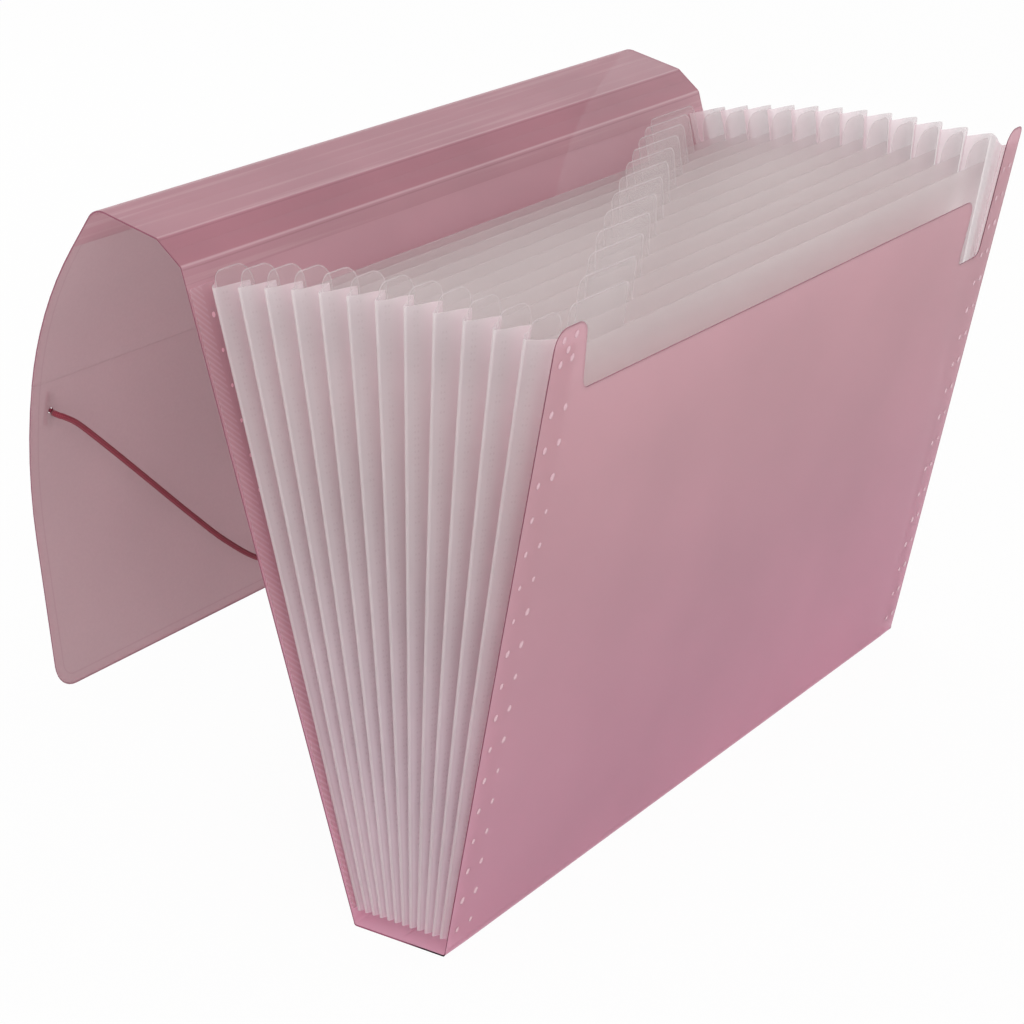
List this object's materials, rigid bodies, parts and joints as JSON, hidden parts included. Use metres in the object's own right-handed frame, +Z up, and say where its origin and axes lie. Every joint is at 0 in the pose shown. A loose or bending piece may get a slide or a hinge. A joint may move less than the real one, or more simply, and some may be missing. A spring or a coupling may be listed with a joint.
{
  "type": "expanding file folder",
  "caption": "Expanding file of translucent plastic, standing open: fanned dividers with index tabs, gusseted ends, and a top flap with an elastic cord that hangs behind.",
  "frame": {"origin": "middle of the underside of the base strip, where the folder stands", "axes": "+X along the folder's width, to the right seen from the front; -Y towards the front; +Z up"},
  "size_m": [0.33, 0.2297, 0.2419],
  "materials": {
    "pink_film": "translucent pink polypropylene sheet, satin",
    "divider_film": "frosted clear polypropylene sheet",
    "gusset_film": "frosted clear polypropylene film, creased",
    "elastic": "round braided elastic, dark red",
    "barb": "moulded nylon, dark red"
  },
  "bodies": {
    "base_spine": {"base_spine": "pink_film"},
    "back_cover": {"back_cover": "pink_film"},
    "divider_01": {"divider_01": "divider_film", "pleat_left_01": "gusset_film", "pleat_right_01": "gusset_film"},
    "divider_02": {"divider_02": "divider_film", "pleat_left_02": "gusset_film", "pleat_right_02": "gusset_film"},
    "divider_03": {"divider_03": "divider_film", "pleat_left_03": "gusset_film", "pleat_right_03": "gusset_film"},
    "divider_04": {"divider_04": "divider_film", "pleat_left_04": "gusset_film", "pleat_right_04": "gusset_film"},
    "divider_05": {"divider_05": "divider_film", "pleat_left_05": "gusset_film", "pleat_right_05": "gusset_film"},
    "divider_06": {"divider_06": "divider_film", "pleat_left_06": "gusset_film", "pleat_right_06": "gusset_film"},
    "divider_07": {"divider_07": "divider_film", "pleat_left_07": "gusset_film", "pleat_right_07": "gusset_film"},
    "divider_08": {"divider_08": "divider_film", "pleat_left_08": "gusset_film", "pleat_right_08": "gusset_film"},
    "divider_09": {"divider_09": "divider_film", "pleat_left_09": "gusset_film", "pleat_right_09": "gusset_film"},
    "divider_10": {"divider_10": "divider_film", "pleat_left_10": "gusset_film", "pleat_right_10": "gusset_film"},
    "divider_11": {"divider_11": "divider_film", "pleat_left_11": "gusset_film", "pleat_right_11": "gusset_film"},
    "divider_12": {"divider_12": "divider_film", "pleat_left_12": "gusset_film", "pleat_right_12": "gusset_film"},
    "front_cover": {"front_cover": "pink_film", "pleat_left_13": "gusset_film", "pleat_right_13": "gusset_film"},
    "rear_top_strip": {"rear_top_strip": "pink_film"},
    "front_top_strip": {"front_top_strip": "pink_film"},
    "flap_upper": {"flap_upper": "pink_film"},
    "flap_middle": {"flap_middle": "pink_film", "elastic_cord": "elastic", "cord_barb_left": "barb", "cord_barb_right": "barb"},
    "flap_lower": {"flap_lower": "pink_film"}
  },
  "joints": [
    {"name": "rear_top_crease", "type": "hinge", "parent": "back_cover", "child": "rear_top_strip", "pos_m": [0, 0.08108, 0.22659], "axis": [1, 0, 0], "range_deg": [0, 124.7]},
    {"name": "front_top_crease", "type": "hinge", "parent": "rear_top_strip", "child": "front_top_strip", "pos_m": [0, 0.09104, 0.23494], "axis": [1, 0, 0], "range_deg": [0, 26]},
    {"name": "flap_crease", "type": "hinge", "parent": "front_top_strip", "child": "flap_upper", "pos_m": [0, 0.1184, 0.24177], "axis": [1, 0, 0], "range_deg": [0, 157]},
    {"name": "flap_middle_bend", "type": "hinge", "parent": "flap_upper", "child": "flap_middle", "pos_m": [0, 0.14849, 0.20183], "axis": [1, 0, 0], "range_deg": [0, 24.5]},
    {"name": "flap_lower_bend", "type": "hinge", "parent": "flap_middle", "child": "flap_lower", "pos_m": [0, 0.16148, 0.14326], "axis": [1, 0, 0], "range_deg": [0, 17], "deforming": ["elastic_cord"]},
    {"name": "back_cover_crease", "type": "hinge", "parent": "base_spine", "child": "back_cover", "pos_m": [0, 0.0192, 0.0004], "axis": [1, 0, 0], "range_deg": [0, 15.3]},
    {"name": "divider_01_hinge", "type": "hinge", "parent": "base_spine", "child": "divider_01", "pos_m": [0, 0.01625, 0.0004], "axis": [1, 0, 0], "range_deg": [0, 13.2], "deforming": ["pleat_left_01", "pleat_right_01"]},
    {"name": "divider_02_hinge", "type": "hinge", "parent": "base_spine", "child": "divider_02", "pos_m": [0, 0.01329, 0.0004], "axis": [1, 0, 0], "range_deg": [0, 11.1], "deforming": ["pleat_left_02", "pleat_right_02"]},
    {"name": "divider_03_hinge", "type": "hinge", "parent": "base_spine", "child": "divider_03", "pos_m": [0, 0.01034, 0.0004], "axis": [1, 0, 0], "range_deg": [0, 9], "deforming": ["pleat_left_03", "pleat_right_03"]},
    {"name": "divider_04_hinge", "type": "hinge", "parent": "base_spine", "child": "divider_04", "pos_m": [0, 0.00739, 0.0004], "axis": [1, 0, 0], "range_deg": [0, 6.9], "deforming": ["pleat_left_04", "pleat_right_04"]},
    {"name": "divider_05_hinge", "type": "hinge", "parent": "base_spine", "child": "divider_05", "pos_m": [0, 0.00443, 0.0004], "axis": [1, 0, 0], "range_deg": [0, 4.8], "deforming": ["pleat_left_05", "pleat_right_05"]},
    {"name": "divider_06_hinge", "type": "hinge", "parent": "base_spine", "child": "divider_06", "pos_m": [0, 0.00148, 0.0004], "axis": [1, 0, 0], "range_deg": [0, 2.7], "deforming": ["pleat_left_06", "pleat_right_06"]},
    {"name": "divider_07_hinge", "type": "hinge", "parent": "base_spine", "child": "divider_07", "pos_m": [0, -0.00148, 0.0004], "axis": [1, 0, 0], "range_deg": [0, 0.6], "deforming": ["pleat_left_07", "pleat_right_07"]},
    {"name": "divider_08_hinge", "type": "hinge", "parent": "base_spine", "child": "divider_08", "pos_m": [0, -0.00443, 0.0004], "axis": [1, 0, 0], "range_deg": [-1.5, 0], "deforming": ["pleat_left_08", "pleat_right_08"]},
    {"name": "divider_09_hinge", "type": "hinge", "parent": "base_spine", "child": "divider_09", "pos_m": [0, -0.00739, 0.0004], "axis": [1, 0, 0], "range_deg": [-3.6, 0], "deforming": ["pleat_left_09", "pleat_right_09"]},
    {"name": "divider_10_hinge", "type": "hinge", "parent": "base_spine", "child": "divider_10", "pos_m": [0, -0.01034, 0.0004], "axis": [1, 0, 0], "range_deg": [-5.7, 0], "deforming": ["pleat_left_10", "pleat_right_10"]},
    {"name": "divider_11_hinge", "type": "hinge", "parent": "base_spine", "child": "divider_11", "pos_m": [0, -0.01329, 0.0004], "axis": [1, 0, 0], "range_deg": [-7.8, 0], "deforming": ["pleat_left_11", "pleat_right_11"]},
    {"name": "divider_12_hinge", "type": "hinge", "parent": "base_spine", "child": "divider_12", "pos_m": [0, -0.01625, 0.0004], "axis": [1, 0, 0], "range_deg": [-9.9, 0], "deforming": ["pleat_left_12", "pleat_right_12"]},
    {"name": "front_cover_crease", "type": "hinge", "parent": "base_spine", "child": "front_cover", "pos_m": [0, -0.0192, 0.0004], "axis": [1, 0, 0], "range_deg": [-12, 0], "deforming": ["pleat_left_13", "pleat_right_13"]}
  ],
  "couplings": [
    {"joint": "rear_top_crease", "follows": "back_cover_crease", "ratio": 8.1503},
    {"joint": "front_top_crease", "follows": "back_cover_crease", "ratio": 1.6993},
    {"joint": "flap_middle_bend", "follows": "flap_crease", "ratio": 0.15605},
    {"joint": "flap_lower_bend", "follows": "flap_crease", "ratio": 0.10828},
    {"joint": "divider_01_hinge", "follows": "back_cover_crease", "ratio": 0.86274},
    {"joint": "divider_02_hinge", "follows": "back_cover_crease", "ratio": 0.72549},
    {"joint": "divider_03_hinge", "follows": "back_cover_crease", "ratio": 0.58824},
    {"joint": "divider_04_hinge", "follows": "back_cover_crease", "ratio": 0.45098},
    {"joint": "divider_05_hinge", "follows": "back_cover_crease", "ratio": 0.31373},
    {"joint": "divider_06_hinge", "follows": "back_cover_crease", "ratio": 0.17647},
    {"joint": "divider_07_hinge", "follows": "back_cover_crease", "ratio": 0.039216},
    {"joint": "divider_08_hinge", "follows": "back_cover_crease", "ratio": -0.098039},
    {"joint": "divider_09_hinge", "follows": "back_cover_crease", "ratio": -0.23529},
    {"joint": "divider_10_hinge", "follows": "back_cover_crease", "ratio": -0.37255},
    {"joint": "divider_11_hinge", "follows": "back_cover_crease", "ratio": -0.5098},
    {"joint": "divider_12_hinge", "follows": "back_cover_crease", "ratio": -0.64706},
    {"joint": "front_cover_crease", "follows": "back_cover_crease", "ratio": -0.78431}
  ]
}
